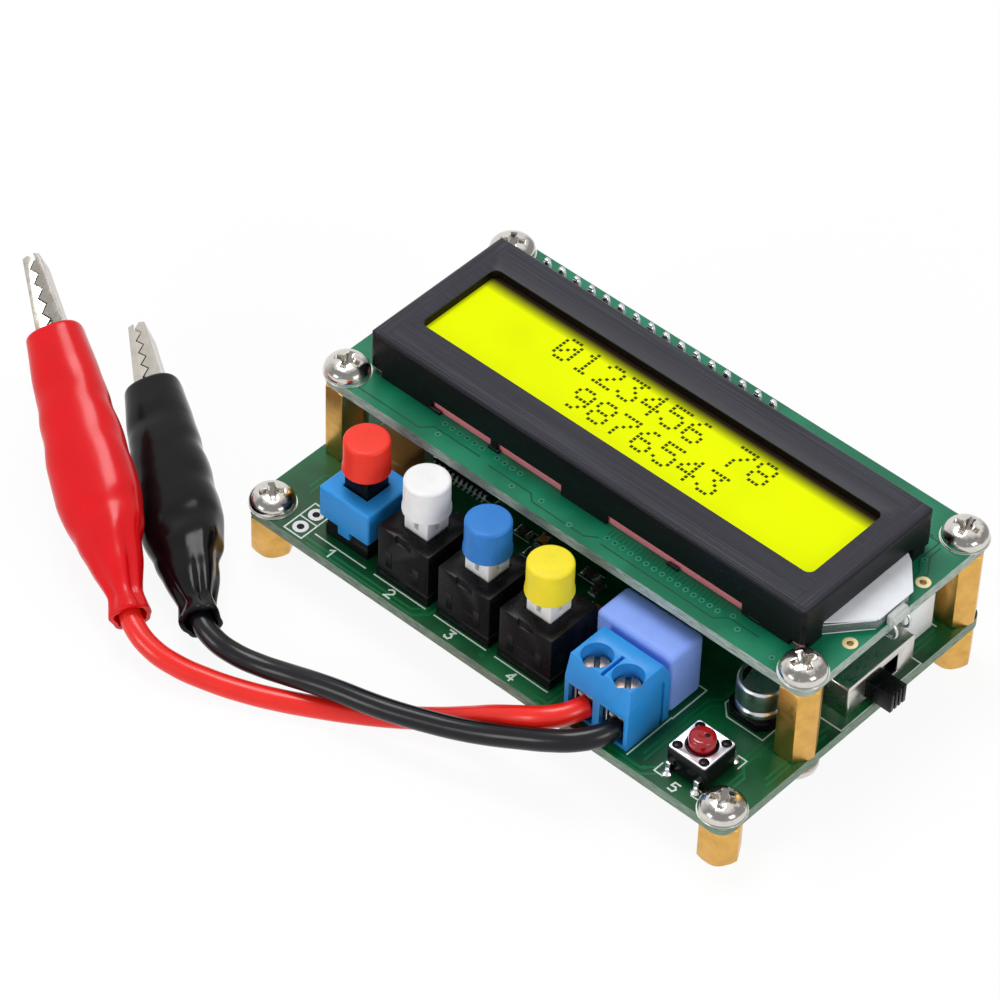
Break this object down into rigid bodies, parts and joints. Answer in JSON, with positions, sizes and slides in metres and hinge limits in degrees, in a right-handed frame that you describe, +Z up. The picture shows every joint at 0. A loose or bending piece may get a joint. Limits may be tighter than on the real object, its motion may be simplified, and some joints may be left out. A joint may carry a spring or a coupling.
{
  "type": "component tester",
  "caption": "Open-frame component tester: a character display on brass standoffs over a main board, with push switches, a screw terminal and clip leads.",
  "frame": {"origin": "centre of the four feet, on the table", "axes": "+X along the display to the right, +Y to the rear, +Z up"},
  "size_m": [0.1273, 0.0751, 0.0282],
  "materials": {
    "board_green": "glossy solder mask",
    "board_teal": "glossy solder mask",
    "brass": "satin turned brass",
    "gold_plate": "plated",
    "nickel": "nickel plated",
    "black_metal": "brushed black",
    "screen": "lit screen",
    "clear_plastic": "clear",
    "white_film": "matt film",
    "lamp": "lamp body",
    "pink_rubber": "soft",
    "black_resin": "matt",
    "black_plastic": "satin",
    "blue_plastic": "satin",
    "white_plastic": "satin",
    "red_plastic": "satin",
    "sky_plastic": "satin",
    "yellow_plastic": "satin",
    "tin_plate": "tin plated",
    "clear_red_plastic": "clear red",
    "copper_plate": "coppered steel",
    "periwinkle_resin": "satin",
    "can_aluminium": "drawn",
    "brown_resin": "satin",
    "chip_parts": "matt",
    "solder": "bright solder",
    "red_wire": "soft vinyl",
    "black_wire": "soft vinyl",
    "red_vinyl": "glossy vinyl",
    "black_vinyl": "glossy vinyl",
    "spring_steel": "spring wire"
  },
  "bodies": {
    "tester": {"main_board": "board_green", "feet": "brass", "posts": "brass", "screws": "nickel", "display_board": "board_teal", "display_bezel": "black_metal", "display_glass": "screen", "light_guide": "clear_plastic", "light_reflector": "white_film", "backlight_lamp": "lamp", "contact_strips": "pink_rubber", "driver_chips": "black_resin", "header_pins": "gold_plate", "header_socket": "black_plastic", "zero_base": "black_plastic", "capacitance_base": "black_plastic", "inductance_base": "black_plastic", "mode_base": "black_plastic", "zero_cover": "blue_plastic", "func_base": "black_plastic", "func_plate": "tin_plate", "func_legs": "tin_plate", "slide_shell": "nickel", "slide_base": "black_plastic", "terminal_body": "blue_plastic", "terminal_contacts": "tin_plate", "film_capacitor": "periwinkle_resin", "can_capacitor": "can_aluminium", "can_base": "black_plastic", "block_capacitor": "brown_resin", "processor": "black_resin", "small_parts": "chip_parts", "battery_header": "white_plastic", "solder_joints": "solder", "red_lead": "red_wire", "black_lead": "black_wire", "red_boot": "red_vinyl", "black_boot": "black_vinyl", "red_fixed_jaw": "nickel", "black_fixed_jaw": "nickel", "clip_pins": "nickel", "red_clip_spring": "spring_steel", "black_clip_spring": "spring_steel"},
    "zero_key": {"zero_stem": "black_plastic", "zero_cap": "red_plastic"},
    "capacitance_key": {"capacitance_stem": "white_plastic", "capacitance_cap": "white_plastic"},
    "inductance_key": {"inductance_stem": "white_plastic", "inductance_cap": "sky_plastic"},
    "mode_key": {"mode_stem": "white_plastic", "mode_cap": "yellow_plastic"},
    "func_key": {"func_button": "clear_red_plastic"},
    "power_knob": {"slide_knob": "black_plastic"},
    "left_screw": {"terminal_screw_left": "copper_plate"},
    "right_screw": {"terminal_screw_right": "copper_plate"},
    "left_cage": {"terminal_cage_left": "nickel"},
    "right_cage": {"terminal_cage_right": "nickel"},
    "red_jaw": {"red_moving_jaw": "nickel"},
    "black_jaw": {"black_moving_jaw": "nickel"}
  },
  "joints": [
    {"name": "zero_press", "type": "slide", "parent": "tester", "child": "zero_key", "axis": [0, 0, -1], "range_m": [0, 0.002], "stiffness_N_per_m": 400, "springref_m": -0.002},
    {"name": "capacitance_press", "type": "slide", "parent": "tester", "child": "capacitance_key", "axis": [0, 0, -1], "range_m": [0, 0.002], "stiffness_N_per_m": 400, "springref_m": -0.002},
    {"name": "inductance_press", "type": "slide", "parent": "tester", "child": "inductance_key", "axis": [0, 0, -1], "range_m": [0, 0.002], "stiffness_N_per_m": 400, "springref_m": -0.002},
    {"name": "mode_press", "type": "slide", "parent": "tester", "child": "mode_key", "axis": [0, 0, -1], "range_m": [0, 0.002], "stiffness_N_per_m": 400, "springref_m": -0.002},
    {"name": "func_press", "type": "slide", "parent": "tester", "child": "func_key", "axis": [0, 0, -1], "range_m": [0, 0.0003], "stiffness_N_per_m": 3000, "springref_m": -0.0002},
    {"name": "power_slide", "type": "slide", "parent": "tester", "child": "power_knob", "axis": [0, 1, 0], "range_m": [0, 0.003]},
    {"name": "left_screw_turn", "type": "hinge", "parent": "tester", "child": "left_screw", "pos_m": [0.0155, -0.0206, 0.0145], "axis": [0, 0, 1], "range_deg": [0, 720.5]},
    {"name": "left_cage_slide", "type": "slide", "parent": "tester", "child": "left_cage", "axis": [0, 0, -1], "range_m": [0, 0.001]},
    {"name": "right_screw_turn", "type": "hinge", "parent": "tester", "child": "right_screw", "pos_m": [0.0205, -0.0206, 0.0145], "axis": [0, 0, 1], "range_deg": [0, 720.5]},
    {"name": "right_cage_slide", "type": "slide", "parent": "tester", "child": "right_cage", "axis": [0, 0, -1], "range_m": [0, 0.001]},
    {"name": "red_jaw_open", "type": "hinge", "parent": "tester", "child": "red_jaw", "pos_m": [-0.06623, -0.02969, 0.01224], "axis": [-0.0101, -0.3962, 0.9181], "range_deg": [0, 16], "stiffness_Nm_per_rad": 0.05, "springref_deg": -22.92, "deforming": ["red_clip_spring", "red_boot"]},
    {"name": "black_jaw_open", "type": "hinge", "parent": "tester", "child": "black_jaw", "pos_m": [-0.05783, -0.02166, 0.00418], "axis": [0.2373, 0.2495, -0.9389], "range_deg": [0, 16], "stiffness_Nm_per_rad": 0.05, "springref_deg": -22.92, "deforming": ["black_clip_spring", "black_boot"]}
  ],
  "couplings": [
    {"joint": "left_screw_turn", "follows": "left_cage_slide", "rad_per_m": 12566},
    {"joint": "right_screw_turn", "follows": "right_cage_slide", "rad_per_m": 12566}
  ]
}
